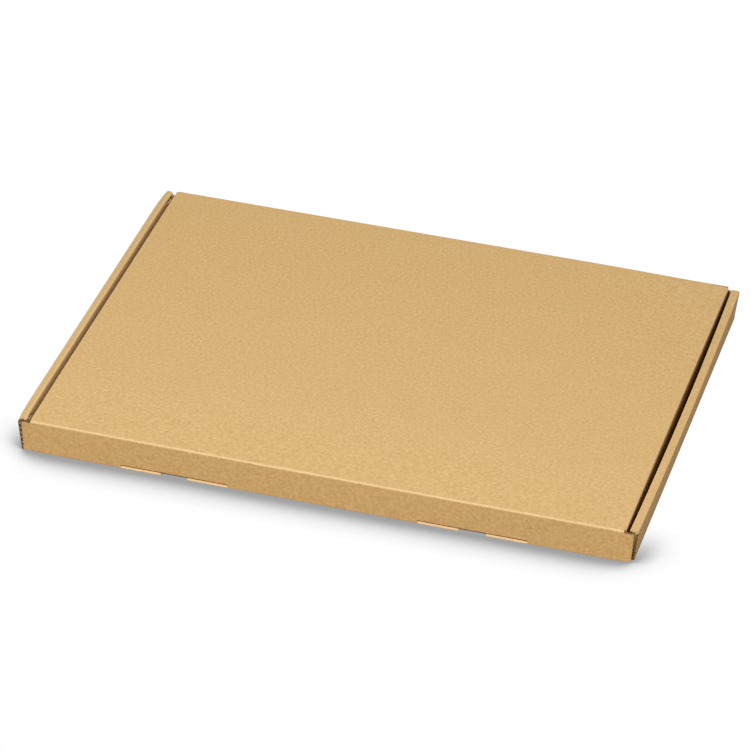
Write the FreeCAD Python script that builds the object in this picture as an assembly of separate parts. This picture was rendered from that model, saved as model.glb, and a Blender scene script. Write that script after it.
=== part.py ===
import FreeCAD, Part
import math
import os

# Flat mailer box: one die-cut sheet of E-flute board, folded up. The tray is the base, a hinge wall, a front
# wall and two side walls that are rolled over and locked into the base. The lid is the same sheet carried on
# past the hinge fold, so it is a node of its own only because it turns there.
# X runs along the hinge, Y from the hinge wall to the front wall, Z up. Millimetres.

# Driving dimensions
LENGTH = 340.0            # over the top folds of the side walls, at their ends
DEPTH = 250.0             # hinge wall face to front wall face
HEIGHT = 20.0             # floor to the top face of the lid
BOARD = 1.5               # thickness of the board
FOLD_RADIUS = 1.3         # outside of a creased fold
PLY_GAP = 0.1             # slack between two plies that lie against each other
HINGE_GAP = 0.2           # slack at the hinge fold, where the lid turns on the tray

WALL_FLARE = 1.7          # how far a side wall leans out, base to top
WALL_KNEE = 2.4           # height at which it starts to lean
WALL_BOW = 1.3            # how far its top bulges out halfway along
ROLL_SHORT = 0.3          # top of a rolled side wall short of the hinge wall's outer face
ROLL_SLANT = 2.4          # by which its outer ply gets shorter at that end, top to base
ROLL_SET_BACK = 3.2       # end of a rolled side wall to the inside of the front wall
INNER_PLY_TAPER = 4.0     # by which the inner ply gets shorter at each end, top to bottom

LOCK_TAB_WIDTH = 45.0     # tabs on the inner ply that lock it into the base
LOCK_TAB_SPACING = 120.0
LOCK_TAB_RISE = 0.15      # tip of a tab above the floor
LOCK_SLOT_SLACK = 0.3

CREASE_SHORT = 1.0        # base crease of a long wall short of the side wall's inner ply
WALL_END_SHORT = 0.6      # cut top of the hinge wall short of the side wall's foot
EAR_LENGTH = 32.0         # ears of the long walls, tucked inside the side walls
EAR_RISE = 0.2            # lower edge of an ear above the base board
EAR_DROP = 2.4            # top face of the lid to the upper edge of the ears and of the front wall
EAR_TAPER = 2.0           # by which an ear gets narrower at each edge, root to tip

TONGUE_SLOT = 60.0        # cut across the hinge wall's crease
TONGUE_SLOT_CENTRE = 82.0 # middle of the box to the middle of such a cut
TONGUE_WIDTH = 22.8       # a tongue of base board at each end of the cut
TONGUE_REACH = 2.3        # how far a tongue stands out past the hinge wall
TONGUE_CORNER = 0.8
TONGUE_SLIT = 0.15        # top of a tongue to the cut edge of the wall
SLOT_SET_BACK = 2.2       # hinge wall face to the base's edge between the tongues

LID_SIDE_GAP = 1.3        # lid's side flap to the side wall's inner ply, at the top
LID_FRONT_GAP = 0.3       # lid's front fold to the inside of the front wall
SIDE_FLAP_RISE = 3.0      # foot of a side flap above the base board
SIDE_FLAP_LEAN = 2.5      # degrees inward from square
SIDE_FLAP_TAPER = 6.0
SIDE_FLAP_CLEAR = 1.0     # side flap to the inside of the hinge wall
TUCK_FLAP_RISE = 2.0      # foot of the tuck flap above the base board
TUCK_FLAP_LEAN = 3.0
TUCK_FLAP_TAPER = 9.0
TUCK_FLAP_CORNER = 7.0

# Places worked out from them
HINGE_FACE = (TONGUE_REACH - DEPTH) / 2
FRONT_FACE = HINGE_FACE + DEPTH
HINGE_INSIDE = HINGE_FACE + BOARD
FRONT_INSIDE = FRONT_FACE - BOARD
BASE_HALF = LENGTH / 2 - WALL_FLARE
ROLL_WIDTH = 3 * BOARD + 2 * PLY_GAP
ROLL_START = HINGE_FACE + ROLL_SHORT
ROLL_END = FRONT_INSIDE - ROLL_SET_BACK
INNER_PLY_START = HINGE_INSIDE + PLY_GAP
LID_HALF = LENGTH / 2 - ROLL_WIDTH - LID_SIDE_GAP
LID_FRONT = FRONT_INSIDE - LID_FRONT_GAP
CREASE_HALF = BASE_HALF - ROLL_WIDTH - CREASE_SHORT
EAR_LOW = BOARD + EAR_RISE
HINGE_Y = HINGE_FACE + BOARD / 2
HINGE_Z = HEIGHT - BOARD / 2
WALL_SEAM = (BOARD + WALL_KNEE) / 2
STRIP = 10 * BOARD        # base board that belongs to the fold of a long wall
SIDE_FLAP_LENGTH = HEIGHT - BOARD - SIDE_FLAP_RISE
TUCK_FLAP_LENGTH = HEIGHT - BOARD - TUCK_FLAP_RISE
LID_FOLD_REACH = FOLD_RADIUS * math.tan(math.radians(45 + SIDE_FLAP_LEAN / 2))
LID_FOLD_HALF = LID_HALF - max(BOARD, LID_FOLD_REACH) - PLY_GAP
KINK = math.radians(10)   # a smaller turn of the board is no fold


def box(x0, x1, y0, y1, z0, z1):
    """Block between two corners, whichever way round x0 and x1 are."""
    corner = FreeCAD.Vector(min(x0, x1), y0, z0)
    return Part.makeBox(abs(x1 - x0), y1 - y0, z1 - z0, corner)


def prism(points, direction):
    """Polygon through 3-D points, pushed along a direction."""
    return Part.Face(Part.makePolygon(points + points[:1])).extrude(direction)


def turn_left(direction):
    return (-direction[1], direction[0])


def unit(start, end):
    length = math.hypot(end[0] - start[0], end[1] - start[1])
    return ((end[0] - start[0]) / length, (end[1] - start[1]) / length)


def along(point, direction, distance):
    return (point[0] + direction[0] * distance, point[1] + direction[1] * distance)


def board_section(path, place):
    """Closed outline of folded board: its outer face follows path, and its thickness lies to the left of it.

    A turn to the left is a fold, round outside and sharp inside. A slight turn is only a kink. place turns a
    point of the section into a point in space.
    """
    outer = []
    inner = [along(path[0], turn_left(unit(path[0], path[1])), BOARD)]
    here = path[0]
    for before, corner, after in zip(path, path[1:], path[2:]):
        came = unit(before, corner)
        goes = unit(corner, after)
        cosine = came[0] * goes[0] + came[1] * goes[1]
        half = math.acos(cosine) / 2
        to_centre = unit((0, 0), along(turn_left(came), turn_left(goes), 1))
        inner.append(along(corner, to_centre, BOARD / math.cos(half)))
        if half < KINK:
            outer.append(Part.makeLine(place(here), place(corner)))
            here = corner
            continue
        reach = FOLD_RADIUS * math.tan(half)
        start = along(corner, came, -reach)
        middle = along(corner, to_centre, FOLD_RADIUS * (1 / math.cos(half) - 1))
        end = along(corner, goes, reach)
        outer.append(Part.makeLine(place(here), place(start)))
        outer.append(Part.Arc(place(start), place(middle), place(end)).toShape())
        here = end
    outer.append(Part.makeLine(place(here), place(path[-1])))
    inner.append(along(path[-1], turn_left(unit(path[-2], path[-1])), BOARD))
    back = [place(point) for point in reversed(inner)]
    closing = Part.makePolygon([place(path[-1])] + back + [place(path[0])])
    return Part.Wire(outer + closing.Edges)


def across_x(path, x0, x1):
    """Board folded to a path of (y, z) points, from x0 to x1."""
    section = board_section(path, lambda point: FreeCAD.Vector(x0, point[0], point[1]))
    return Part.Face(section).extrude(FreeCAD.Vector(x1 - x0, 0, 0))


def across_y(path, y0, y1):
    """Board folded to a path of (x, z) points, from y0 to y1."""
    section = board_section(path, lambda point: FreeCAD.Vector(point[0], y0, point[1]))
    return Part.Face(section).extrude(FreeCAD.Vector(0, y1 - y0, 0))


def bulge(y):
    """Sideways bulge of a side wall's top at y: a parabola, none at its ends."""
    share = (y - ROLL_START) / (ROLL_END - ROLL_START)
    return max(WALL_BOW * 4 * share * (1 - share), 0)


def lean(y):
    """How far the side wall at y leans out for each millimetre of height."""
    return (WALL_FLARE + bulge(y)) / (HEIGHT - WALL_KNEE)


def wall_x(y, z):
    """Outer face of the side wall at +X."""
    return BASE_HALF + lean(y) * max(z - WALL_KNEE, 0)


def pocket_x(y, z):
    """Where the outer face of an ear lies, one ply in from the side wall's outer face."""
    return wall_x(y, z) - BOARD * math.hypot(1, lean(y)) - PLY_GAP


def inner_ply_x(y, z):
    """Face of the side wall's inner ply that looks into the box."""
    return wall_x(y, HEIGHT) - ROLL_WIDTH - lean(y) * (HEIGHT - z)


def rolled_section(y):
    """Side wall at y: up the outer ply, over the top and down the inner ply to the tips of its tabs."""
    path = [
        (BASE_HALF, WALL_SEAM),
        (BASE_HALF, WALL_KNEE),
        (wall_x(y, HEIGHT), HEIGHT),
        (inner_ply_x(y, HEIGHT), HEIGHT),
        (inner_ply_x(y, -BOARD), -BOARD),
    ]
    return board_section(path, lambda point: FreeCAD.Vector(point[0], y, point[1]))


def inner_ply_side(y0, y1, z0, z1):
    """Everything on the box's side of the pocket in which the ears lie."""
    middle = PLY_GAP + BOARD / 2
    points = [
        FreeCAD.Vector(CREASE_HALF, y0, z0),
        FreeCAD.Vector(pocket_x(ROLL_START, z0) - middle, y0, z0),
        FreeCAD.Vector(pocket_x(ROLL_START, z1) - middle, y0, z1),
        FreeCAD.Vector(CREASE_HALF, y0, z1),
    ]
    return prism(points, FreeCAD.Vector(0, y1 - y0, 0))


def tab_edges():
    """Y of both edges of each lock tab of one side wall, from the hinge end on."""
    centre = (ROLL_START + ROLL_END) / 2
    edges = []
    for side in (-1, 1):
        middle = centre + side * LOCK_TAB_SPACING / 2
        edges.append((middle - LOCK_TAB_WIDTH / 2, middle + LOCK_TAB_WIDTH / 2))
    return edges


def end_wedge(y_top, y_base, beyond, top):
    """What lies past the slanted end of a side wall, from y_base at the floor to y_top at its top."""
    points = [
        FreeCAD.Vector(0, beyond, top),
        FreeCAD.Vector(0, y_top, top),
        FreeCAD.Vector(0, y_base, 0),
        FreeCAD.Vector(0, beyond, 0),
    ]
    return prism(points, FreeCAD.Vector(LENGTH, 0, 0))


def rolled_wall():
    """Outer ply from above the base fold, top fold, inner ply with its lock tabs and slanted ends."""
    middle = (ROLL_START + ROLL_END) / 2
    wall = Part.makeLoft([rolled_section(y) for y in (ROLL_START, middle, ROLL_END)], True, False)
    below = BOARD + PLY_GAP
    cuts = [inner_ply_side(ROLL_START - 1, ROLL_END + 1, -2 * BOARD, LOCK_TAB_RISE)]
    start = ROLL_START - 1
    for first, last in tab_edges() + [(ROLL_END + 1, None)]:
        cuts.append(inner_ply_side(start, first, 0, below))
        start = last
    cuts.append(end_wedge(ROLL_START, ROLL_START + ROLL_SLANT, ROLL_START - 1, HEIGHT))
    for end, inward, beyond in ((INNER_PLY_START, 1, ROLL_START - 1), (ROLL_END, -1, ROLL_END + 1)):
        reach = end + inward * INNER_PLY_TAPER
        wedge = end_wedge(end, reach, beyond, HEIGHT - BOARD)
        block = inner_ply_side(min(beyond, reach), max(beyond, reach), 0, HEIGHT - BOARD)
        cuts.append(wedge.common(block))
    return wall.cut(cuts)


def side_base_fold():
    """Base beside the side wall, with the fold into it and the slots for the lock tabs."""
    path = [(CREASE_HALF, 0), (BASE_HALF, 0), (BASE_HALF, WALL_SEAM)]
    fold = across_y(path, ROLL_START + ROLL_SLANT, ROLL_END)
    slots = []
    for first, last in tab_edges():
        inner = min(inner_ply_x(y, LOCK_TAB_RISE) for y in (first, last)) - LOCK_SLOT_SLACK
        outer = max(inner_ply_x(y, BOARD) for y in (first, last)) + BOARD + 2 * LOCK_SLOT_SLACK
        slots.append(box(inner, outer, first - LOCK_SLOT_SLACK, last + LOCK_SLOT_SLACK, -1, BOARD + 1))
    return fold.cut(slots)


def ear(corner_y, inward):
    """End of a long wall, bent round the corner into the pocket of the side wall; inward is +1 or -1 in Y."""
    high = HEIGHT - EAR_DROP
    end = ROLL_START if inward > 0 else ROLL_END
    sections = []
    for z in (EAR_LOW, high):
        tip_y = corner_y + inward * EAR_LENGTH
        tip = (pocket_x(tip_y, z), tip_y)
        corner = (pocket_x(end, z), corner_y)
        root = (CREASE_HALF, corner_y)
        path = [root, corner, tip] if inward > 0 else [tip, corner, root]
        sections.append(board_section(path, lambda point: FreeCAD.Vector(point[0], point[1], z)))
    bent = Part.makeLoft(sections, True, True)
    root_y = corner_y + inward * BOARD
    tip_y = corner_y + inward * (EAR_LENGTH + 1)
    outline = prism([
        FreeCAD.Vector(0, corner_y - inward, EAR_LOW),
        FreeCAD.Vector(0, root_y, EAR_LOW),
        FreeCAD.Vector(0, tip_y, EAR_LOW + EAR_TAPER),
        FreeCAD.Vector(0, tip_y, high - EAR_TAPER),
        FreeCAD.Vector(0, root_y, high),
        FreeCAD.Vector(0, corner_y - inward, high),
    ], FreeCAD.Vector(LENGTH, 0, 0))
    return bent.common(outline)


def wall_plate(face_y, outline):
    """Half of a long wall from its (x, z) outline, one board thick and standing on face_y."""
    points = [FreeCAD.Vector(x, face_y, z) for x, z in outline]
    return prism(points, FreeCAD.Vector(0, BOARD, 0))


def hinge_wall():
    """Half of the wall that carries the lid, with its base fold, its ear and the slot for two tongues."""
    under_lid = HINGE_Z - BOARD / 2 - HINGE_GAP
    wall_end = BASE_HALF - WALL_END_SHORT
    plate = wall_plate(HINGE_FACE, [
        (0, WALL_SEAM),
        (CREASE_HALF, WALL_SEAM),
        (CREASE_HALF, HEIGHT - EAR_DROP),
        (wall_end, HEIGHT - EAR_DROP),
        (wall_end, under_lid),
        (0, under_lid),
    ])
    fold = across_x([(HINGE_FACE, WALL_SEAM), (HINGE_FACE, 0), (HINGE_FACE + STRIP, 0)], 0, CREASE_HALF)
    wall = plate.fuse([fold, ear(HINGE_FACE, 1)])
    slot_start = TONGUE_SLOT_CENTRE - TONGUE_SLOT / 2
    slot_end = TONGUE_SLOT_CENTRE + TONGUE_SLOT / 2
    slot_top = BOARD + TONGUE_SLIT
    wall = wall.cut(box(slot_start, slot_end, HINGE_FACE - 1, HINGE_FACE + SLOT_SET_BACK, -1, slot_top))
    return wall.fuse([tongue(slot_start), tongue(slot_end - TONGUE_WIDTH)])


def tongue(x):
    """Tongue of base board that stays flat where the wall beside it folds up, its outer corners rounded."""
    tip = HINGE_FACE - TONGUE_REACH
    plate = box(x, x + TONGUE_WIDTH, tip, HINGE_FACE + SLOT_SET_BACK, 0, BOARD)
    corners = [edge for edge in plate.Edges if edge.BoundBox.YMax < tip + 0.01 and edge.BoundBox.ZLength > 1]
    return plate.makeFillet(TONGUE_CORNER, corners)


def front_wall():
    """Half of the wall behind which the lid tucks in, with its base fold and its ear."""
    high = HEIGHT - EAR_DROP
    plate = wall_plate(FRONT_INSIDE, [(0, WALL_SEAM), (CREASE_HALF, WALL_SEAM), (CREASE_HALF, high), (0, high)])
    fold = across_x([(FRONT_FACE - STRIP, 0), (FRONT_FACE, 0), (FRONT_FACE, WALL_SEAM)], 0, CREASE_HALF)
    return plate.fuse([fold, ear(FRONT_FACE, -1)])


def tray():
    base = box(0, CREASE_HALF, HINGE_FACE + STRIP, FRONT_FACE - STRIP, 0, BOARD)
    half = base.fuse([side_base_fold(), rolled_wall(), hinge_wall(), front_wall()])
    return both_halves(half)


def hinge_round():
    """Round edge of the lid at the hinge fold, half the board's thickness in radius."""
    top = FreeCAD.Vector(0, HINGE_Y, HEIGHT)
    back = FreeCAD.Vector(0, HINGE_FACE, HINGE_Z)
    bottom = FreeCAD.Vector(0, HINGE_Y, HEIGHT - BOARD)
    outline = Part.Wire([Part.Arc(top, back, bottom).toShape(), Part.makeLine(bottom, top)])
    return Part.Face(outline).extrude(FreeCAD.Vector(LID_FOLD_HALF, 0, 0))


def lid_panel():
    """Half of the lid's top panel with the tuck flap at its front fold, narrower and rounded at its foot."""
    foot = HEIGHT - TUCK_FLAP_LENGTH
    foot_y = LID_FRONT - TUCK_FLAP_LENGTH * math.tan(math.radians(TUCK_FLAP_LEAN))
    foot_x = LID_FOLD_HALF - TUCK_FLAP_TAPER
    panel = across_x([(foot_y, foot), (LID_FRONT, HEIGHT), (HINGE_Y, HEIGHT)], 0, LID_FOLD_HALF)
    outline = prism([
        FreeCAD.Vector(0, HINGE_FACE, HEIGHT + 1),
        FreeCAD.Vector(LID_FOLD_HALF + 1, HINGE_FACE, HEIGHT + 1),
        FreeCAD.Vector(LID_FOLD_HALF + 1, HINGE_FACE, HEIGHT - BOARD),
        FreeCAD.Vector(LID_FOLD_HALF, HINGE_FACE, HEIGHT - BOARD),
        FreeCAD.Vector(foot_x, HINGE_FACE, foot),
        FreeCAD.Vector(0, HINGE_FACE, foot),
    ], FreeCAD.Vector(0, DEPTH, 0))
    corner = [edge for edge in outline.Edges if edge.BoundBox.Center.distanceToPoint(
        FreeCAD.Vector(foot_x, HINGE_FACE + DEPTH / 2, foot)) < 0.01]
    return panel.common(outline.makeFillet(TUCK_FLAP_CORNER, corner))


def side_flap():
    """Side fold of the lid with its flap, which hangs inside the side wall and gets shorter downwards."""
    foot = HEIGHT - SIDE_FLAP_LENGTH
    foot_x = LID_HALF - SIDE_FLAP_LENGTH * math.tan(math.radians(SIDE_FLAP_LEAN))
    fold_end = LID_FRONT - FOLD_RADIUS - PLY_GAP
    fold_start = HINGE_INSIDE + HINGE_GAP
    flap = across_y([(foot_x, foot), (LID_HALF, HEIGHT), (LID_FOLD_HALF, HEIGHT)], fold_start, fold_end)
    cuts = []
    for end, inward, clear in ((fold_start, 1, SIDE_FLAP_CLEAR), (fold_end, -1, BOARD)):
        cuts.append(prism([
            FreeCAD.Vector(0, end - inward, HEIGHT - BOARD),
            FreeCAD.Vector(0, end + inward * clear, HEIGHT - BOARD),
            FreeCAD.Vector(0, end + inward * (clear + SIDE_FLAP_TAPER), foot - 1),
            FreeCAD.Vector(0, end - inward, foot - 1),
        ], FreeCAD.Vector(LENGTH, 0, 0)))
    return flap.cut(cuts)


def lid():
    half = lid_panel().fuse([hinge_round(), side_flap()])
    return both_halves(half)


def both_halves(half):
    """A half and its mirror image, as one clean solid."""
    mirrored = half.mirror(FreeCAD.Vector(0, 0, 0), FreeCAD.Vector(1, 0, 0))
    return half.fuse(mirrored).removeSplitter()


def export(name, shape):
    solid = shape.Solids[0]
    solid.exportStep("parts/" + name + ".step")
    size = solid.optimalBoundingBox()
    print(name, len(shape.Solids), "solid", solid.isValid(), "volume", round(solid.Volume))
    print("  x", round(size.XMin, 2), round(size.XMax, 2), "y", round(size.YMin, 2), round(size.YMax, 2),
          "z", round(size.ZMin, 2), round(size.ZMax, 2))


os.makedirs("parts", exist_ok=True)
export("tray", tray())
export("lid", lid())
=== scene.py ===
import math

import bmesh
import bpy
from mathutils import Matrix, Vector


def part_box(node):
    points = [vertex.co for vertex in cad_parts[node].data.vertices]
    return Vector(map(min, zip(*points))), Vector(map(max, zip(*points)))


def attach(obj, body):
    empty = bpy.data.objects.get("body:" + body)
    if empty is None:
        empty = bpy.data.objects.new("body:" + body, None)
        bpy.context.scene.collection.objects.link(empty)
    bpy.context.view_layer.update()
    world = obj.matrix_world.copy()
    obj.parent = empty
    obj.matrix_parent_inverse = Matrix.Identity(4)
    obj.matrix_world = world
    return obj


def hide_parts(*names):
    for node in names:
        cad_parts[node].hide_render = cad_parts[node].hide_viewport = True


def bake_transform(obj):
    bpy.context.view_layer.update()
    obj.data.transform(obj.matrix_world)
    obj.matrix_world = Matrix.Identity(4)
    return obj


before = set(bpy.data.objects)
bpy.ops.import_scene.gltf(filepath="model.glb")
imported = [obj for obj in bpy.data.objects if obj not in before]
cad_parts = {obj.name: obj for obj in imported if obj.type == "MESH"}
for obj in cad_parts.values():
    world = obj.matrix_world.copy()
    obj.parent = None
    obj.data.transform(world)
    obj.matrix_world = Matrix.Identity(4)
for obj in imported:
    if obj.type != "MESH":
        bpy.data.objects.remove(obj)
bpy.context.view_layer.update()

# A flat mailer box folded from one sheet of E-flute board. The tray and the lid are one sheet, joined by
# the hinge fold, which is a piece of its own; in the real box it bends as the lid opens. Lengths of the box
# are in millimetres. X runs along the hinge, Y from the hinge wall to the front wall, Z up.
MM = 0.001

# The board
BOARD = 1.5               # thickness
LINER = 0.2               # each of its two flat papers
MEDIUM = 0.14             # the wavy paper between them
PITCH = 3.06              # one flute to the next; the flutes run from the hinge to the front
FLUTE_DEPTH = 5.0         # how far the hollows at a cut edge are modelled
FLUTE_OPEN = 0.45         # of a pitch, from the middle of a hollow to its end
FLUTE_STEPS = 8
HOLLOWS_BELOW_TOP = 1.8   # last hollow in a side wall's end to the top of the box
EDGE_INSET = 0.6          # last hollow on top of the hinge wall to the crease of its ear
FLAP_HOLLOWS = (3.0, 3.2) # along a side flap's end from its fold: first hollow, and length without any
FLAP_END_INSET = 1.2      # side flap's hollows to the inside of the hinge wall, at its fold
FOLD_RADIUS = 1.3         # outside of a creased fold
BASE_RADIUS = 0.7         # of the folds that the weight of the box presses on the floor
LID_EDGE_RADIUS = 1.4     # of the lid's side folds
ARC_STEPS = 14            # facets round a fold
PLY_GAP = 0.1             # slack between plies that lie against each other
OVERCUT = 1.0             # by which a cutting shape reaches past what it cuts

# Places given by the parts in model.glb
TRAY_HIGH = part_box("tray")[1] / MM
LID_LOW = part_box("lid")[0] / MM
HEIGHT = TRAY_HIGH.z
HINGE_FACE = LID_LOW.y
HINGE_INSIDE = HINGE_FACE + BOARD
FRONT_FACE = TRAY_HIGH.y
FRONT_INSIDE = FRONT_FACE - BOARD

# Side walls, rolled over and locked into the base
BASE_HALF = 168.3         # middle of the box to the outer face of a side wall at its foot
CREASE_HALF = 162.6       # half the base crease of a long wall
ROLL_WIDTH = 3 * BOARD + 2 * PLY_GAP
WALL_KNEE = 2.4           # height at which a side wall starts to lean out
WALL_FLARE = 1.75         # how far it leans out at its ends, base to top
INNER_PLY_START = HINGE_INSIDE + 1.55
INNER_PLY_FOOT = 1.6      # lower edge of the inner ply, between its tabs
INNER_PLY_TAPER = 4.0     # by which it gets shorter at each end, top to bottom
TAB_WIDTH = 45.0
TAB_CENTRES = (-61.05, 58.95)
TAB_TIP = 0.15
TAB_ROOT = INNER_PLY_FOOT + 1
SLOT_SLACK = 0.3
ROLL_STATIONS = 32
ROLL_LEAD = 2.0           # first full section of a side wall past the end of its inner ply
ROLL_TAIL = 0.5           # last full section short of its other end


class Side:
    """One side wall: which way it faces, its two top creases, its bulge and the cut of its ends."""

    def __init__(self, sign, creases, crown, bow, squareness, pinch, start, end, slant):
        self.sign = sign
        self.creases = creases        # radii over the outer and the inner ply
        self.crown = crown            # by which the outer crease lies lower than the inner
        self.bow = bow                # bulge of the top halfway along
        self.squareness = squareness  # 2 is a parabola, more is straighter with quicker ends
        self.pinch = pinch            # by which the plies lie closer halfway along than at the ends
        self.start = start            # hinge end of the top fold
        self.end = end                # its front end
        self.slant = slant            # by which the outer ply gets shorter at the hinge end, top to base

    def halfway(self, y):
        """1 along the middle of the wall, falling to 0 at its ends."""
        share = 2 * (y - self.start) / (self.end - self.start) - 1
        return max(1 - abs(share) ** self.squareness, 0)

    def bulge(self, y):
        return self.bow * self.halfway(y)

    def lean(self, y):
        return (WALL_FLARE + self.bulge(y)) / (HEIGHT - WALL_KNEE)

    def outer(self, y, z):
        return BASE_HALF + self.lean(y) * max(z - WALL_KNEE, 0)

    def pocket(self, y, z):
        return self.outer(y, z) - BOARD * math.hypot(1, self.lean(y)) - PLY_GAP

    def inner(self, y, z):
        width = ROLL_WIDTH - self.pinch * self.halfway(y)
        return self.outer(y, HEIGHT) - width - self.lean(y) * (HEIGHT - z)

    def point(self, x, y, z):
        return Vector((self.sign * x, y, z))


LEFT = Side(
    sign=-1,
    creases=(2.6, 1.8),
    crown=0.35,
    bow=1.15,
    squareness=16,
    pinch=-0.25,
    start=HINGE_FACE + 0.75,
    end=FRONT_INSIDE - 2.0,
    slant=0.3,
)
RIGHT = Side(
    sign=1,
    creases=(0.8, 0.7),
    crown=0.1,
    bow=1.12,
    squareness=2,
    pinch=0.3,
    start=HINGE_FACE + 1.45,
    end=FRONT_INSIDE - 3.2,
    slant=2.0,
)
SIDES = (LEFT, RIGHT)

# Long walls
STRIP = 15.0              # base board that belongs to the fold of a long wall
UNDER_LID = 18.3          # cut top of the hinge wall beside the lid
FOLD_FOOT = 17.4          # where the hinge fold starts on the wall
WALL_END = 167.45         # crease between a long wall and its ear
WALL_END_LOW = 0.8        # lower edge of a long wall beyond its base crease
EAR_LENGTH = 32.0
EAR_LOW = BOARD + 0.2
EAR_HIGH = 17.6           # upper edge of the ears and of the front wall
FRONT_END_HIGH = 15.6     # upper edge of the front wall beside the lid
EAR_TAPER = 2.0
EAR_KNEE = 3.0            # past its crease an ear comes to lie in the pocket of the side wall
EAR_STATIONS = 6
EAR_CROWDING = 1.5        # more than 1 puts those stations closer near the crease
EAR_LAYERS = 8
EAR_STEP = (2, 3)         # from the wall's face, where an ear's edges change from the wall's to its own

# Tongues of base board beside the cuts in the hinge wall's crease
SLOT_CENTRE = 82.0
SLOT_HALF = 30.0
TONGUE_WIDTH = 22.8
TONGUE_CORNER = 0.8
TONGUE_REACH = 0.5        # its pinched tip past the hinge wall
TONGUE_EDGE = 0.45        # thickness of that tip
TONGUE_LIFT = 0.45        # of that tip off the floor
SLOT_BACK = HINGE_FACE + 2.2
SLOT_TOP = BOARD + 0.8

# Lid
LID_HALF = 163.4
LID_FOLD_HALF = LID_HALF - LID_EDGE_RADIUS - PLY_GAP
HINGE_FOLD_HALF = 162.5
LID_START = HINGE_INSIDE + 1.1   # where the lid panel goes on from the hinge fold
LID_FRONT = FRONT_INSIDE - 0.3
SIDE_FLAP = 15.5
SIDE_FLAP_LEAN = 2.5      # degrees inward from square
SIDE_FLAP_TAPER = 6.0
TUCK_FLAP = 16.5
TUCK_FLAP_LEAN = 3.0
TUCK_FLAP_TAPER = 9.0
TUCK_FLAP_CORNER = 7.0
HINGE_FINE = 0.12         # spacing of the hinge fold's vertices round its bend
DROOP = 0.4               # by which the lid lies lower along the hinge fold than over the side walls
SAG = 0.25                # and how much lower again halfway along it
DROOP_REACH = 60.0
DROOP_CUTS = 12           # cuts across the lid in that reach, and on through as long a stretch again
SAG_CUTS = 16             # cuts from its middle to its side
SETTLE = 1.1              # by which the front corner at +X has been pressed lower, lid and side wall
SETTLE_REACH = 90.0
HINGE_STATIONS = 60


# Sections of folded board

def turned_left(way):
    return Vector((-way.y, way.x))


def arc(centre, middle_way, radius, half):
    """Points of a fold's outer face round centre, half an angle to either side of middle_way."""
    points = []
    for step in range(ARC_STEPS + 1):
        turn = Matrix.Rotation(half * (2 * step / ARC_STEPS - 1), 2)
        points.append(centre + turn @ middle_way * radius)
    return points


def folded(path, folds):
    """Closed ring of points round board whose outer face follows a path, its thickness to the left.

    folds gives the outside radius of the path's corners that are creases, by number; the rest are kinks.
    """
    path = [Vector(point) for point in path]
    ways = [(b - a).normalized() for a, b in zip(path, path[1:])]
    outer = [path[0]]
    inner = [path[0] + turned_left(ways[0]) * BOARD]
    for number in range(1, len(path) - 1):
        came, goes, corner = ways[number - 1], ways[number], path[number]
        inward = (turned_left(came) + turned_left(goes)).normalized()
        half = math.acos(max(-1, min(1, came.dot(goes)))) / 2
        inner.append(corner + inward * BOARD / math.cos(half))
        if number in folds:
            outer += arc(corner + inward * folds[number] / math.cos(half), -inward, folds[number], half)
        else:
            outer.append(corner)
    outer.append(path[-1])
    inner.append(path[-1] + turned_left(ways[-1]) * BOARD)
    return outer + inner[::-1]


# Closed shells: a list of points and a list of faces

def sweep(rings):
    """Shell through rings of as many points each, with an end face on the first and the last."""
    count = len(rings[0])
    points = [point for ring in rings for point in ring]
    last = (len(rings) - 1) * count
    faces = [list(range(count)), list(range(last, last + count))]
    for start in range(0, last, count):
        for i in range(count):
            j = (i + 1) % count
            faces.append([start + i, start + j, start + count + j, start + count + i])
    return points, faces


def prism(outline, way):
    """Shell of a flat outline pushed along a way."""
    outline = [Vector(point) for point in outline]
    return sweep([outline, [point + Vector(way) for point in outline]])


def block(x0, x1, y0, y1, z0, z1):
    return prism([(x0, y0, z0), (x1, y0, z0), (x1, y1, z0), (x0, y1, z0)], (0, 0, z1 - z0))


def across_x(path, folds, x0, x1):
    """Board folded to a path of (y, z) points, from x0 to x1."""
    ring = folded(path, folds)
    return sweep([[Vector((x, point.x, point.y)) for point in ring] for x in (x0, x1)])


def flute_hollows(start, end, normal, into):
    """Shells of the hollows in a cut edge that opens the flutes.

    The edge runs from start to end in the middle of the board. The normal points across its thickness, and
    into is the way the flutes run from the edge.
    """
    start, end = Vector(start), Vector(end)
    normal, into = Vector(normal).normalized(), Vector(into).normalized()
    length = (end - start).length
    way = (end - start) / length
    count = int(length / PITCH)
    first = (length - count * PITCH) / 2
    half = BOARD / 2 - LINER
    swing = half - MEDIUM / 2
    reach = FLUTE_OPEN * PITCH
    shells = []
    for number in range(2 * count):
        middle = first + (number + 0.5) * PITCH / 2
        upward = 1 if number % 2 else -1
        outline = [(-reach, half), (reach, half)]
        for step in range(FLUTE_STEPS + 1):
            along = reach * (1 - 2 * step / FLUTE_STEPS)
            outline.append((along, MEDIUM / 2 - swing * math.cos(math.tau * along / PITCH)))
        points = [start + way * (middle + a) + normal * (upward * n) - into * BOARD for a, n in outline]
        shells.append(prism(points, into * (FLUTE_DEPTH + BOARD)))
    return shells


# Meshes

def mesh_object(name, shells, material_index=0):
    """Object in metres from closed shells that don't overlap. Paper 0 is the liner and 1 the medium."""
    form = bmesh.new()
    for points, faces in shells:
        made = [form.verts.new(point * MM) for point in points]
        for face in faces:
            form.faces.new([made[i] for i in face])
    bmesh.ops.recalc_face_normals(form, faces=form.faces)
    for face in form.faces:
        face.material_index = material_index
    mesh = bpy.data.meshes.new(name)
    form.to_mesh(mesh)
    form.free()
    for material in PAPERS:
        mesh.materials.append(material)
    obj = bpy.data.objects.new(name, mesh)
    bpy.context.scene.collection.objects.link(obj)
    return obj


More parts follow.
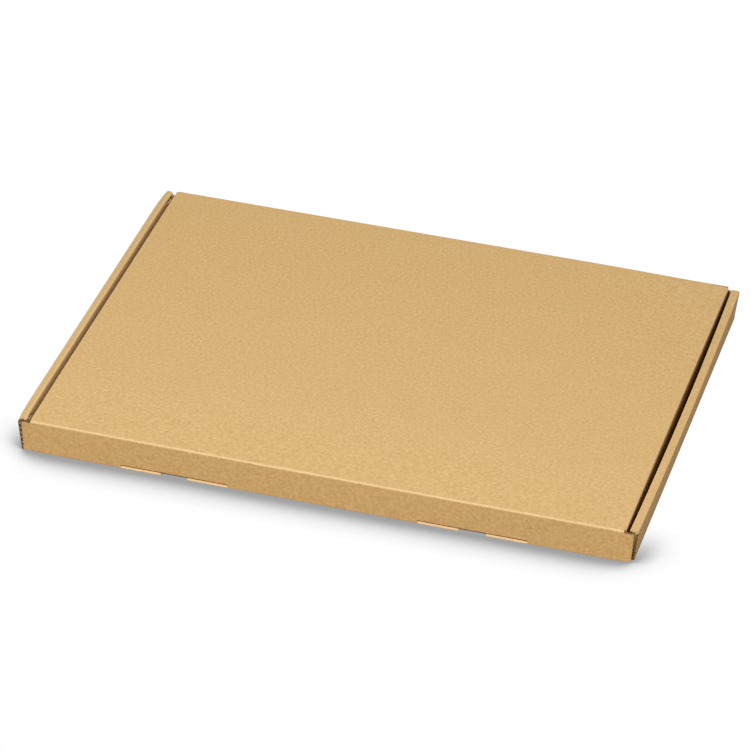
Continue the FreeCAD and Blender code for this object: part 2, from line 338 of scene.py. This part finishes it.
def combine(obj, other, operation):
    """Boolean of obj with other, which is used up."""
    modifier = obj.modifiers.new("combine", "BOOLEAN")
    modifier.operation = operation
    modifier.solver = "MANIFOLD"
    modifier.object = other
    graph = bpy.context.evaluated_depsgraph_get()
    mesh = bpy.data.meshes.new_from_object(obj.evaluated_get(graph))
    obj.modifiers.clear()
    obj.data = mesh
    bpy.data.objects.remove(other)


def unite(obj, shells):
    for shell in shells:
        combine(obj, mesh_object("part", [shell]), "UNION")


def cut(obj, shells, material_index=0):
    """Takes shells that don't overlap away from obj."""
    combine(obj, mesh_object("cutter", shells, material_index), "DIFFERENCE")


def mirrored(points):
    return [Vector((-x, y, z)) for x, y, z in points]


def both_sides(shells):
    """Shells and their mirror images across the middle of the box."""
    return shells + [(mirrored(points), faces) for points, faces in shells]


# Tray

def settled(x, y):
    """How much lower the top of the box is at x and y, near its pressed corner."""
    away = math.hypot(x - LID_HALF, (y - FRONT_INSIDE) / 2) / SETTLE_REACH
    share = max(1 - away, 0)
    return SETTLE * share * share


def rolled_ring(side, y):
    """Section of a side wall at y: base, up the outer ply, over the top and down the inner ply."""
    top = HEIGHT - settled(side.sign * LID_HALF, y)
    return folded([
        (CREASE_HALF - STRIP, 0),
        (BASE_HALF, 0),
        (BASE_HALF, WALL_KNEE),
        (side.outer(y, HEIGHT), top - side.crown),
        (side.inner(y, HEIGHT), top),
        (side.inner(y, INNER_PLY_FOOT), INNER_PLY_FOOT),
    ], {1: BASE_RADIUS, 3: side.creases[0], 4: side.creases[1]})


def end_y(side, y, x, z):
    """Where the ring that starts or ends a side wall is cut, at x and z."""
    in_inner_ply = x < side.inner(y, z) + BOARD + PLY_GAP and BOARD < z < HEIGHT - 0.9 * BOARD
    down = 1 - z / HEIGHT
    if y > 0:
        return side.end - (INNER_PLY_TAPER * down if in_inner_ply else 0)
    if in_inner_ply:
        return INNER_PLY_START + INNER_PLY_TAPER * down
    return side.start + side.slant * down


def rolled_wall(side):
    """Outer ply, top fold and inner ply of one side, with the base board beside it."""
    first = side.start + INNER_PLY_TAPER + ROLL_LEAD
    last = side.end - INNER_PLY_TAPER - ROLL_TAIL
    stations = [side.start]
    for number in range(ROLL_STATIONS + 1):
        share = (1 - math.cos(math.pi * number / ROLL_STATIONS)) / 2
        stations.append(first + (last - first) * share)
    stations.append(side.end)
    rings = []
    for y in stations:
        at_end = y in (side.start, side.end)
        ring = rolled_ring(side, y)
        rings.append([side.point(p.x, end_y(side, y, p.x, p.y) if at_end else y, p.y) for p in ring])
    return sweep(rings)


def lock_tab(side, centre):
    """Tab of the inner ply that stands in a slot of the base."""
    section = ((TAB_TIP, 0), (TAB_ROOT, 0), (TAB_ROOT, BOARD), (TAB_TIP, BOARD))
    rings = []
    for y in (centre - TAB_WIDTH / 2, centre + TAB_WIDTH / 2):
        ring = []
        for z, depth in section:
            ring.append(side.point(side.inner(y, z) + depth, y, z))
        rings.append(ring)
    return sweep(rings)


def lock_slot(side, centre):
    """What is cut out of the base for a lock tab."""
    half = TAB_WIDTH / 2 + SLOT_SLACK
    inner = side.inner(centre - half, 0) - SLOT_SLACK
    outer = side.inner(centre, BOARD) + BOARD + 2 * SLOT_SLACK
    x0, x1 = sorted((side.sign * inner, side.sign * outer))
    return block(x0, x1, centre - half, centre + half, -1, BOARD + 0.05)


def ear_path(side, face_y, inward, z):
    """Plan of a long wall's end and its ear at height z, from the wall to the ear's tip."""
    path = [(CREASE_HALF - STRIP, face_y), (WALL_END, face_y)]
    end = side.start if inward > 0 else side.end
    for number in range(EAR_STATIONS + 1):
        share = (number / EAR_STATIONS) ** EAR_CROWDING
        y = face_y + inward * (EAR_KNEE + (EAR_LENGTH - EAR_KNEE) * share)
        within = max(y, end) if inward > 0 else min(y, end)
        path.append((side.pocket(within, z), y))
    return path


def ear(side, face_y, inward, top):
    """Plate of a long wall from near its end, round the corner and into the side wall's pocket."""
    rings = []
    for number in range(EAR_LAYERS + 1):
        z = WALL_END_LOW + (top - WALL_END_LOW) * number / EAR_LAYERS
        path = ear_path(side, face_y, inward, z)
        if inward > 0:
            ring = folded(path, {1: FOLD_RADIUS})
        else:
            ring = folded(path[::-1], {len(path) - 2: FOLD_RADIUS})
        rings.append([side.point(p.x, p.y, z) for p in ring])
    obj = mesh_object("ear", [sweep(rings)])
    step, root = EAR_STEP
    tip = EAR_LENGTH + OVERCUT
    outline = [
        (-OVERCUT, WALL_END_LOW), (step, WALL_END_LOW), (root, EAR_LOW), (tip, EAR_LOW + EAR_TAPER),
        (tip, EAR_HIGH - EAR_TAPER), (root, EAR_HIGH), (step, top), (-OVERCUT, top),
    ]
    wide = BASE_HALF * 1.1
    keep = prism([(-wide, face_y + inward * y, z) for y, z in outline], (2 * wide, 0, 0))
    combine(obj, mesh_object("keep", [keep]), "INTERSECT")
    return obj


def tongue_section():
    """(y, z) of a tongue: flat base board inside the wall, pinched thinner towards its tip."""
    tip = HINGE_FACE - TONGUE_REACH
    round_edge = TONGUE_EDGE / 2
    return [
        (SLOT_BACK + OVERCUT, 0),
        (tip + BOARD, 0),
        (tip + round_edge, TONGUE_LIFT),
        (tip, TONGUE_LIFT + round_edge),
        (tip + 0.1, TONGUE_LIFT + TONGUE_EDGE),
        (tip + 0.9, BOARD - 0.1),
        (tip + 1.4, BOARD),
        (SLOT_BACK + OVERCUT, BOARD),
    ]


def tongue(x):
    """Tongue of base board from x on, its two outer corners rounded."""
    section = tongue_section()
    rings = []
    steps = 5             # round each corner
    for number in range(2 * steps + 2):
        from_end = min(number, 2 * steps + 1 - number) / steps
        angle = math.pi / 2 * from_end
        inset = TONGUE_CORNER * (1 - math.sin(angle))
        along = TONGUE_CORNER * (1 - math.cos(angle))
        place = x + along if number <= steps else x + TONGUE_WIDTH - along
        rings.append([Vector((place, min(y + inset, SLOT_BACK + OVERCUT), z)) for y, z in section])
    return sweep(rings)


def tray_sheet():
    """The tray: base, side walls, long walls with their ears, lock tabs and tongues, with open flutes."""
    base = block(-CREASE_HALF, CREASE_HALF, HINGE_FACE + STRIP - OVERCUT, FRONT_FACE - STRIP + OVERCUT,
                 0, BOARD)
    obj = mesh_object("tray_sheet", [base])
    hinge_path = [(HINGE_FACE, FOLD_FOOT), (HINGE_FACE, 0), (HINGE_FACE + STRIP, 0)]
    front_path = [(FRONT_FACE - STRIP, 0), (FRONT_FACE, 0), (FRONT_FACE, EAR_HIGH)]
    unite(obj, [
        rolled_wall(LEFT),
        rolled_wall(RIGHT),
        across_x(hinge_path, {1: BASE_RADIUS}, -CREASE_HALF, CREASE_HALF),
        across_x(front_path, {1: BASE_RADIUS}, -CREASE_HALF, CREASE_HALF),
    ])
    cut(obj, [lock_slot(side, centre) for side in SIDES for centre in TAB_CENTRES])
    slot_start, slot_end = SLOT_CENTRE - SLOT_HALF, SLOT_CENTRE + SLOT_HALF
    cut(obj, both_sides([block(slot_start, slot_end, HINGE_FACE - OVERCUT, SLOT_BACK, -OVERCUT, SLOT_TOP)]))
    for side in SIDES:
        for face_y, inward, top in ((HINGE_FACE, 1, UNDER_LID), (FRONT_FACE, -1, FRONT_END_HIGH)):
            combine(obj, ear(side, face_y, inward, top), "UNION")
        unite(obj, [lock_tab(side, centre) for centre in TAB_CENTRES])
    cut(obj, [block(-HINGE_FOLD_HALF, HINGE_FOLD_HALF, HINGE_FACE - OVERCUT, HINGE_INSIDE + OVERCUT,
                    FOLD_FOOT, HEIGHT)])
    tongues = [tongue(slot_start), tongue(slot_end - TONGUE_WIDTH)]
    unite(obj, both_sides(tongues))
    cut(obj, tray_hollows(), 1)
    return obj


def tray_hollows():
    """Open flutes at the ends of the side walls, on top of the long walls and on the ears."""
    shells = []
    low, high = WALL_KNEE, HEIGHT - HOLLOWS_BELOW_TOP
    for side in SIDES:
        for y, way in ((side.start, 1), (side.end, -1)):
            lean = Vector((side.sign * side.lean(y), 0, 1)).normalized()
            normal = (lean.z, 0, -lean.x)
            edges = ((side.outer, -BOARD / 2, 0, low), (side.inner, BOARD / 2, 0, low))
            for surface, depth, shift, bottom in edges:
                inset = INNER_PLY_TAPER * way if surface == side.inner else 0
                start = side.point(surface(y, bottom) + depth, y + inset, bottom)
                end = side.point(surface(y, high) + depth, y + inset, high)
                shells += flute_hollows(start, end, normal, (0, way, 0))
    near, far = HINGE_FOLD_HALF + PLY_GAP, WALL_END - EDGE_INSET
    middle = HINGE_FACE + BOARD / 2
    for start, end in ((near, far), (-far, -near)):
        shells += flute_hollows((start, middle, UNDER_LID), (end, middle, UNDER_LID),
                                (0, 1, 0), (0, 0, -1))
    middle = FRONT_FACE - BOARD / 2
    shells += flute_hollows((-CREASE_HALF, middle, EAR_HIGH), (CREASE_HALF, middle, EAR_HIGH),
                            (0, 1, 0), (0, 0, -1))
    return shells


# Lid

def tuck_corner():
    """What is cut off the tuck flap at +X: its taper and its rounded corner."""
    foot = HEIGHT - TUCK_FLAP
    top = HEIGHT - BOARD
    slope = math.atan2(TUCK_FLAP_TAPER, top - foot)
    half = (math.pi / 2 - slope) / 2
    reach = TUCK_FLAP_CORNER * math.tan(half)
    foot_x = LID_FOLD_HALF - TUCK_FLAP_TAPER
    centre = Vector((foot_x - reach, foot + TUCK_FLAP_CORNER))
    outline = [(LID_FOLD_HALF + 3, foot - 1), (LID_FOLD_HALF + 3, top), (LID_FOLD_HALF, top)]
    for step in range(ARC_STEPS + 1):
        angle = -2 * half * (step / ARC_STEPS)
        outline.append((centre.x + TUCK_FLAP_CORNER * math.cos(angle - slope),
                        centre.y + TUCK_FLAP_CORNER * math.sin(angle - slope)))
    outline.append((centre.x, foot - 1))
    return prism([(x, FRONT_INSIDE - 5, z) for x, z in outline], (0, 10, 0))


def side_flap():
    """Side fold of the lid at +X with its flap."""
    foot_x = LID_HALF - SIDE_FLAP * math.tan(math.radians(SIDE_FLAP_LEAN))
    path = [(foot_x, HEIGHT - SIDE_FLAP), (LID_HALF, HEIGHT), (LID_FOLD_HALF - STRIP, HEIGHT)]
    ring = folded(path, {1: LID_EDGE_RADIUS})
    stations = (HINGE_INSIDE + 0.2, LID_FRONT - FOLD_RADIUS - PLY_GAP)
    return sweep([[Vector((point.x, y, point.y)) for point in ring] for y in stations])


def flap_end(end, inward, clear):
    """What is cut off a side flap at one end, so that it gets shorter downwards."""
    top, foot = HEIGHT - BOARD, HEIGHT - SIDE_FLAP - 1
    outline = [(end - inward, top), (end + inward * clear, top)]
    outline += [(end + inward * (clear + SIDE_FLAP_TAPER), foot), (end - inward, foot)]
    return prism([(LID_HALF - 6, y, z) for y, z in outline], (8, 0, 0))


def lid_hollows():
    """Open flutes at the ends of the side flaps and along the foot of the tuck flap."""
    lean = math.radians(SIDE_FLAP_LEAN)
    down = Vector((-math.sin(lean), 0, -math.cos(lean)))
    normal = (down.z, 0, -down.x)
    first, without = FLAP_HOLLOWS
    top = Vector((LID_HALF - BOARD / 2, 0, HEIGHT)) + down * first
    bottom = top + down * (SIDE_FLAP - without)
    shells = []
    slope = SIDE_FLAP_TAPER / SIDE_FLAP
    for end, way in ((HINGE_INSIDE + FLAP_END_INSET, 1), (LID_FRONT - FOLD_RADIUS - BOARD, -1)):
        start = Vector((top.x, end + way * 2 * slope, top.z))
        last = Vector((bottom.x, end + way * (SIDE_FLAP - 1) * slope, bottom.z))
        shells += flute_hollows(start, last, normal, (0, way, 0))
    shells = both_sides(shells)
    lean = math.radians(TUCK_FLAP_LEAN)
    up = Vector((0, math.sin(lean), math.cos(lean)))
    half = LID_FOLD_HALF - TUCK_FLAP_TAPER - TUCK_FLAP_CORNER
    foot = Vector((0, LID_FRONT - TUCK_FLAP * math.tan(lean) - BOARD / 2, HEIGHT - TUCK_FLAP))
    ends = [foot + Vector((x, 0, 0)) for x in (-half, half)]
    return shells + flute_hollows(*ends, (0, -up.z, up.y), up)


def within_unit(value):
    return min(max(value, 0), 1)


def drooped(point):
    """A point of the lid or the hinge fold, lowered near the hinge and near the pressed corner."""
    from_hinge = within_unit((point.y - LID_START) / DROOP_REACH)
    fade = 1 - from_hinge * from_hinge * (3 - 2 * from_hinge)
    raised = 1
    if point.y < LID_START:
        raised = within_unit((point.z - FOLD_FOOT) / (HEIGHT - BOARD - FOLD_FOOT))
    lower = (DROOP + SAG * (1 - (point.x / LID_HALF) ** 2)) * fade * raised
    return point - Vector((0, 0, lower + settled(point.x, point.y)))


def sag(obj):
    """Lowers the lid near the hinge, after cutting it across so that it can bend."""
    form = bmesh.new()
    form.from_mesh(obj.data)
    cuts = []
    for number in range(1, 2 * DROOP_CUTS + 1):
        place = Vector((0, LID_START + DROOP_REACH * number / DROOP_CUTS, 0))
        cuts.append((place, Vector((0, 1, 0))))
    for number in range(1 - SAG_CUTS, SAG_CUTS):
        cuts.append((Vector((LID_HALF * number / SAG_CUTS, 0, 0)), Vector((1, 0, 0))))
    for place, normal in cuts:
        bmesh.ops.bisect_plane(form, geom=form.verts[:] + form.edges[:] + form.faces[:], dist=1e-7,
                               plane_co=place * MM, plane_no=normal)
    for vertex in form.verts:
        vertex.co = drooped(vertex.co / MM) * MM
    form.to_mesh(obj.data)
    form.free()


def lid_sheet():
    """The lid: panel, side flaps and tuck flap, without the strip that is the hinge fold."""
    foot_y = LID_FRONT - TUCK_FLAP * math.tan(math.radians(TUCK_FLAP_LEAN))
    path = [(foot_y, HEIGHT - TUCK_FLAP), (LID_FRONT, HEIGHT), (LID_START, HEIGHT)]
    panel = across_x(path, {1: FOLD_RADIUS}, -LID_FOLD_HALF, LID_FOLD_HALF)
    obj = mesh_object("lid_sheet", [panel])
    cut(obj, both_sides([tuck_corner()]))
    unite(obj, both_sides([side_flap()]))
    cut(obj, [block(-HINGE_FOLD_HALF, HINGE_FOLD_HALF, HINGE_FACE, LID_START,
                    HEIGHT - 2 * BOARD, HEIGHT + OVERCUT)])
    ends = ((HINGE_INSIDE + 0.2, 1, 1.0), (LID_FRONT - FOLD_RADIUS - PLY_GAP, -1, BOARD))
    cut(obj, both_sides([flap_end(*end) for end in ends]))
    cut(obj, lid_hollows(), 1)
    sag(obj)
    return obj


# Hinge fold

def fine(ring):
    """A ring with points added until they are close enough to bend."""
    points = []
    for here, there in zip(ring, ring[1:] + ring[:1]):
        count = max(1, math.ceil((there - here).length / HINGE_FINE))
        points += [here.lerp(there, number / count) for number in range(count)]
    return points


def hinge_fold():
    """Strip of board round the lid's hinge, from the hinge wall to the lid panel."""
    path = [(LID_START, HEIGHT), (HINGE_FACE, HEIGHT), (HINGE_FACE, FOLD_FOOT)]
    ring = fine(folded(path, {1: FOLD_RADIUS}))
    rings = []
    for number in range(HINGE_STATIONS + 1):
        x = HINGE_FOLD_HALF * (2 * number / HINGE_STATIONS - 1)
        rings.append([drooped(Vector((x, point.x, point.y))) for point in ring])
    return mesh_object("hinge_fold", [sweep(rings)])


# Camera, metres and degrees
AIM = Vector((-0.0043, -0.0104, 0.010))
AZIMUTH = 15.56
ELEVATION = 33.67
TILT = 1.39               # right side of the picture up
DISTANCE = 2.356
LENS = 207.0
SENSOR = 36.0


def make_camera():
    azimuth = math.radians(AZIMUTH)
    elevation = math.radians(ELEVATION)
    back = Vector((
        math.sin(azimuth) * math.cos(elevation),
        -math.cos(azimuth) * math.cos(elevation),
        math.sin(elevation),
    ))
    right = Vector((math.cos(azimuth), math.sin(azimuth), 0))
    up = back.cross(right)
    turn = Matrix.Rotation(math.radians(TILT), 3, back)
    axes = Matrix((turn @ right, turn @ up, back)).transposed()
    data = bpy.data.cameras.new("camera")
    data.lens = LENS
    data.sensor_width = SENSOR
    data.clip_end = 20
    camera = bpy.data.objects.new("camera", data)
    camera.matrix_world = Matrix.Translation(AIM + back * DISTANCE) @ axes.to_4x4()
    bpy.context.scene.collection.objects.link(camera)
    bpy.context.scene.camera = camera


# Light and floor

KEY_PLACE = (0.03, -0.9, 1.3)
KEY_SIZE = 0.3
KEY_POWER = 17.0
KEY_COLOUR = (1.0, 1.0, 1.0)
AMBIENT = 0.42            # strength of the white surroundings as a light
FLOOR_BOUNCE = (0.42, 0.33, 0.22)
SHADOW_REACH = 0.065      # metres round the box in which the floor is shaded by it
SHADOW_CLOSED = 0.55      # openness at which the shadow is deepest, and at which it ends
SHADOW_OPEN = 0.9
SHADOW_DEEPEST = 0.36     # brightness there, of the white floor's
SHADOW_FADE = 38          # millimetres past the hinge wall's face over which the shadow runs out


def add_node(tree, kind, inputs, **settings):
    """Adds a shader node; each input is a value, or the output socket that feeds it."""
    made = tree.nodes.new("ShaderNode" + kind)
    for name, value in settings.items():
        setattr(made, name, value)
    for socket, value in inputs.items():
        if isinstance(value, bpy.types.NodeSocket):
            tree.links.new(value, made.inputs[socket])
        else:
            made.inputs[socket].default_value = value
    return made


def area_light(name, place, size, power, colour):
    data = bpy.data.lights.new(name, "AREA")
    data.shape = "DISK"
    data.size = size
    data.energy = power
    data.color = colour
    lamp = bpy.data.objects.new(name, data)
    lamp.location = place
    lamp.rotation_euler = (-Vector(place)).to_track_quat("-Z", "Y").to_euler()
    bpy.context.scene.collection.objects.link(lamp)


def seen_or_lighting(tree, seen, lighting):
    """Mix that shows one shader to the camera and in reflections, and lights with the other."""
    path = add_node(tree, "LightPath", {})
    direct = add_node(tree, "Math", {0: path.outputs["Is Camera Ray"], 1: path.outputs["Is Glossy Ray"]},
                      operation="MAXIMUM")
    looked_at = add_node(tree, "Math", {0: direct.outputs[0], 1: path.outputs["Is Transmission Ray"]},
                         operation="MAXIMUM")
    mix = add_node(tree, "MixShader", {
        0: looked_at.outputs[0],
        1: lighting.outputs[0],
        2: seen.outputs[0],
    })
    return mix.outputs[0]


def make_world():
    world = bpy.data.worlds.new("studio")
    bpy.context.scene.world = world
    world.use_nodes = True
    tree = world.node_tree
    tree.nodes.clear()
    seen = add_node(tree, "Background", {"Color": (1, 1, 1, 1), "Strength": 1.0})
    lighting = add_node(tree, "Background", {"Color": (1, 1, 1, 1), "Strength": AMBIENT})
    add_node(tree, "OutputWorld", {"Surface": seen_or_lighting(tree, seen, lighting)})


def make_light():
    area_light("key_light", KEY_PLACE, KEY_SIZE, KEY_POWER, KEY_COLOUR)
    make_world()


def floor_material():
    """White floor, shaded where the box closes it in, before the hinge wall and not farther back."""
    material = bpy.data.materials.new("white_floor")
    material.use_nodes = True
    tree = material.node_tree
    tree.nodes.clear()
    openness = add_node(tree, "AmbientOcclusion", {"Distance": SHADOW_REACH}, samples=16)
    shadow = add_node(tree, "MapRange", {
        "Value": openness.outputs["AO"],
        "From Min": SHADOW_CLOSED,
        "From Max": SHADOW_OPEN,
        "To Min": SHADOW_DEEPEST,
    }, interpolation_type="SMOOTHSTEP")
    place = add_node(tree, "NewGeometry", {})
    parts = add_node(tree, "SeparateXYZ", {0: place.outputs["Position"]})
    beside = add_node(tree, "MapRange", {
        "Value": parts.outputs["Y"],
        "From Min": (HINGE_FACE - 2) * MM,
        "From Max": (HINGE_FACE + SHADOW_FADE) * MM,
    }, interpolation_type="SMOOTHSTEP")
    shade = add_node(tree, "Mix", {"Factor": beside.outputs[0], "A": shadow.outputs[0], "B": 1.0},
                     data_type="FLOAT")
    seen = add_node(tree, "Emission", {"Color": shade.outputs["Result"]})
    lighting = add_node(tree, "BsdfDiffuse", {"Color": (*FLOOR_BOUNCE, 1)})
    add_node(tree, "OutputMaterial", {"Surface": seen_or_lighting(tree, seen, lighting)})
    return material


def make_floor():
    bpy.ops.mesh.primitive_plane_add(size=12, location=(0, 0, 0))
    floor = bpy.context.object
    floor.name = "floor"
    floor.data.materials.append(floor_material())


# Paper. Kraft liner varies between two shades in small flecks and faint clouds; flecks are longer along the
# machine's run, which is across the flutes.

KRAFT_DARK = (0.585, 0.36, 0.135, 1)
KRAFT_LIGHT = (0.775, 0.52, 0.235, 1)
# Paler crease shade: partly wear of the liner at its folds, partly a painted highlight on them
KRAFT_WEAR_HIGHLIGHT = (0.86, 0.62, 0.34, 1)
# Dark painted shade for deep in the gap beside the lid, not a colour of the paper
KRAFT_GAP_SHADE = (0.1, 0.03, 0.004, 1)
MEDIUM_DARK = (0.22, 0.11, 0.035, 1)
MEDIUM_LIGHT = (0.34, 0.19, 0.075, 1)
PAPER_ROUGHNESS = 0.7
PAPER_SPECULAR = 0.15
FLECK_STRETCH = 0.85
MOTTLE_SCALE = 700        # per metre
MOTTLE_AMOUNT = 2.1
FLECK_SCALE = 900
FLECK_DARK = (0.42, 0.23, 0.07, 1)
FLECK_LIGHT = (0.86, 0.62, 0.33, 1)
FLECK_TIERS = (0.64, 0.76)   # noise from which a fleck shows, and at which it is full
FLECK_STRENGTH = 0.4      # how far a full fleck covers the mottle
CLOUD_SCALE = 60
CLOUD_AMOUNT = 0.15
WEAR_HIGHLIGHT_AMOUNT = 0.6         # how far a crease goes over to the paler shade, partly wear and partly a painted highlight
# Painted shade: deep in the gap beside the lid the paper goes over to a dark shade, as far as ambient
# occlusion finds it closed in
GAP_REACH = 8.0           # how far off a wall still closes in a narrow gap
GAP_DARK = 0.06           # openness at which its shade is deepest, and at which it starts
GAP_LIGHT = 0.2
GRAIN_SCALE = 2200
GRAIN_HEIGHT = 1.5e-5     # metres
WASHBOARD_HEIGHT = 3e-6   # by which the flutes show on the flat liners
NEARLY_ALONG = 0.9        # part of a face's normal along an axis from which the face counts as square to it
CUT_INSET = 0.3           # from the long walls' faces; the ends of the side walls lie farther in
CREASE_TILT = (0.03, 0.15)  # of a normal off its nearest axis, where crease wear and painted highlight start and where they are full
GAP_FACING = 0.6          # part along X from which a face beside the lid lines the gap
WALL_FACING = 0.7         # part along Y from which a face belongs to a long wall


def is_cut_edge(face):
    """Whether a face is an end of a side wall, or the top of a long wall beside the lid. Such faces get the
    darker medium paper, partly as the raw edge and partly as painted shade of their open flutes and
    recesses.
    """
    place = face.center / MM
    if abs(place.x) <= HINGE_FOLD_HALF:
        return False
    behind_faces = HINGE_FACE + CUT_INSET < place.y < FRONT_FACE - CUT_INSET
    wall_end = abs(face.normal.y) > NEARLY_ALONG and behind_faces
    on_long_wall = not HINGE_INSIDE < place.y < FRONT_INSIDE
    level = face.normal.z > NEARLY_ALONG and WALL_KNEE < place.z < UNDER_LID + 0.1
    return wall_end or level and on_long_wall


def mark_surfaces(obj):
    """Stores what the paper needs to know of each face, and of its corners' places across the flutes.

    A face is marked for crease wear and painted highlight as far as it lies on a crease, and in_gap, for
    painted shade, where it lines the gap beside the lid.
    """
    unmarked_tilt, full = CREASE_TILT
    mesh = obj.data
    wear_and_highlight = mesh.attributes.new("wear_and_highlight", "FLOAT", "FACE")
    in_gap = mesh.attributes.new("in_gap", "FLOAT", "FACE")
    across = mesh.attributes.new("across_flutes", "FLOAT", "CORNER")
    for face in mesh.polygons:
        # Cut edges get the darker medium paper: partly the raw edge, partly painted shade.
        if is_cut_edge(face):
            face.material_index = 1
        off_axis = 1 - max(abs(part) for part in face.normal)
        wear_and_highlight.data[face.index].value = within_unit((off_axis - unmarked_tilt) / (full - unmarked_tilt))
        beside_lid = LID_HALF - 2 < abs(face.center.x) / MM < BASE_HALF - 1
        in_gap.data[face.index].value = 1 if beside_lid and abs(face.normal.x) > GAP_FACING else 0
        on_long_wall = abs(face.normal.y) > WALL_FACING
        for loop in face.loop_indices:
            place = mesh.vertices[mesh.loops[loop].vertex_index].co
            across.data[loop].value = abs(place.x) + (0 if on_long_wall else place.z - HEIGHT * MM)


def add_math(tree, operation, *terms):
    return add_node(tree, "Math", dict(enumerate(terms)), operation=operation).outputs[0]


def add_mix(tree, share, first, second, clamp=True):
    """Colour that goes from first to second as the share goes from 0 to 1."""
    inputs = {"Factor": share, "A": first, "B": second}
    mix = add_node(tree, "Mix", inputs, data_type="RGBA", clamp_factor=clamp)
    return mix.outputs["Result"]


def add_attribute(tree, name):
    return add_node(tree, "Attribute", {}, attribute_name=name).outputs["Fac"]


def mottled(tree, place, run, dark, light):
    """Colour of clean paper: mottle and clouds between two shades, with flecks."""
    mottle = add_node(tree, "TexNoise", {
        "Vector": run,
        "Scale": MOTTLE_SCALE,
        "Detail": 5,
        "Roughness": 0.55,
    })
    cloud = add_node(tree, "TexNoise", {"Vector": place, "Scale": CLOUD_SCALE, "Detail": 2})
    middle = 0.5 - (MOTTLE_AMOUNT + CLOUD_AMOUNT) / 2
    tone = add_math(tree, "MULTIPLY_ADD", mottle.outputs[0], MOTTLE_AMOUNT, middle)
    tone = add_math(tree, "MULTIPLY_ADD", cloud.outputs[0], CLOUD_AMOUNT, tone)
    colour = add_mix(tree, tone, dark, light, clamp=False)
    flecks = add_node(tree, "TexNoise", {"Vector": run, "Scale": FLECK_SCALE, "Detail": 1})
    start, full = FLECK_TIERS
    for fleck, first, last in ((FLECK_DARK, start, full), (FLECK_LIGHT, 1 - start, 1 - full)):
        share = add_node(tree, "MapRange", {
            "Value": flecks.outputs[0],
            "From Min": first,
            "From Max": last,
            "To Max": FLECK_STRENGTH,
        })
        colour = add_mix(tree, share.outputs[0], colour, fleck)
    return colour


# Creases go over to a paler shade, partly wear and partly a painted highlight on the folds.
def wear_and_highlight_at_creases(tree, colour):
    amount = add_math(tree, "MULTIPLY", add_attribute(tree, "wear_and_highlight"), WEAR_HIGHLIGHT_AMOUNT)
    return add_mix(tree, amount, colour, KRAFT_WEAR_HIGHLIGHT)


def painted_gap_shade(tree, colour):
    """Colour painted over to a dark shade where the gap beside the lid is closed in: painted shade, not a
    colour of the paper.
    """
    openness = add_node(tree, "AmbientOcclusion", {"Distance": GAP_REACH * MM}, samples=6)
    opened = add_node(tree, "MapRange", {
        "Value": openness.outputs["AO"],
        "From Min": GAP_DARK,
        "From Max": GAP_LIGHT,
    }, interpolation_type="SMOOTHSTEP")
    share = add_math(tree, "POWER", opened.outputs[0], add_attribute(tree, "in_gap"))
    return add_mix(tree, share, KRAFT_GAP_SHADE, colour)


def washboard(tree, run):
    """Bump of the paper's grain and of the flutes under it."""
    grain = add_node(tree, "TexNoise", {"Vector": run, "Scale": GRAIN_SCALE, "Detail": 1})
    turns = add_math(tree, "MULTIPLY", add_attribute(tree, "across_flutes"), math.tau / (PITCH * MM))
    wave = add_math(tree, "SINE", turns)
    height = add_math(tree, "MULTIPLY_ADD", wave, WASHBOARD_HEIGHT / GRAIN_HEIGHT, grain.outputs[0])
    return add_node(tree, "Bump", {"Height": height, "Distance": GRAIN_HEIGHT}).outputs[0]


def paper(name, dark, light):
    """Mottled uncoated paper between two shades, paler where it is creased, partly from wear and partly as
    a painted highlight, and with painted shade deep in the gap beside the lid.
    """
    material = bpy.data.materials.new(name)
    material.use_nodes = True
    tree = material.node_tree
    shader = tree.nodes["Principled BSDF"]
    shader.inputs["Roughness"].default_value = PAPER_ROUGHNESS
    shader.inputs["Specular IOR Level"].default_value = PAPER_SPECULAR
    place = add_node(tree, "TexCoord", {}).outputs["Object"]
    run = add_node(tree, "Mapping", {"Vector": place, "Scale": (FLECK_STRETCH, 1, 1)}).outputs[0]
    colour = mottled(tree, place, run, dark, light)
    colour = wear_and_highlight_at_creases(tree, colour)
    colour = painted_gap_shade(tree, colour)
    tree.links.new(colour, shader.inputs["Base Color"])
    tree.links.new(washboard(tree, run), shader.inputs["Normal"])
    return material


make_camera()
make_light()
make_floor()
bpy.context.scene.view_settings.view_transform = "Standard"

PAPERS = (
    paper("kraft_liner", KRAFT_DARK, KRAFT_LIGHT),
    paper("flute_medium", MEDIUM_DARK, MEDIUM_LIGHT),
)
tray = tray_sheet()
lid = lid_sheet()
hinge = hinge_fold()
for sheet in (tray, lid, hinge):
    mark_surfaces(sheet)
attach(tray, "tray")
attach(lid, "lid")
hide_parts("tray")
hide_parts("lid")
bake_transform(hinge)
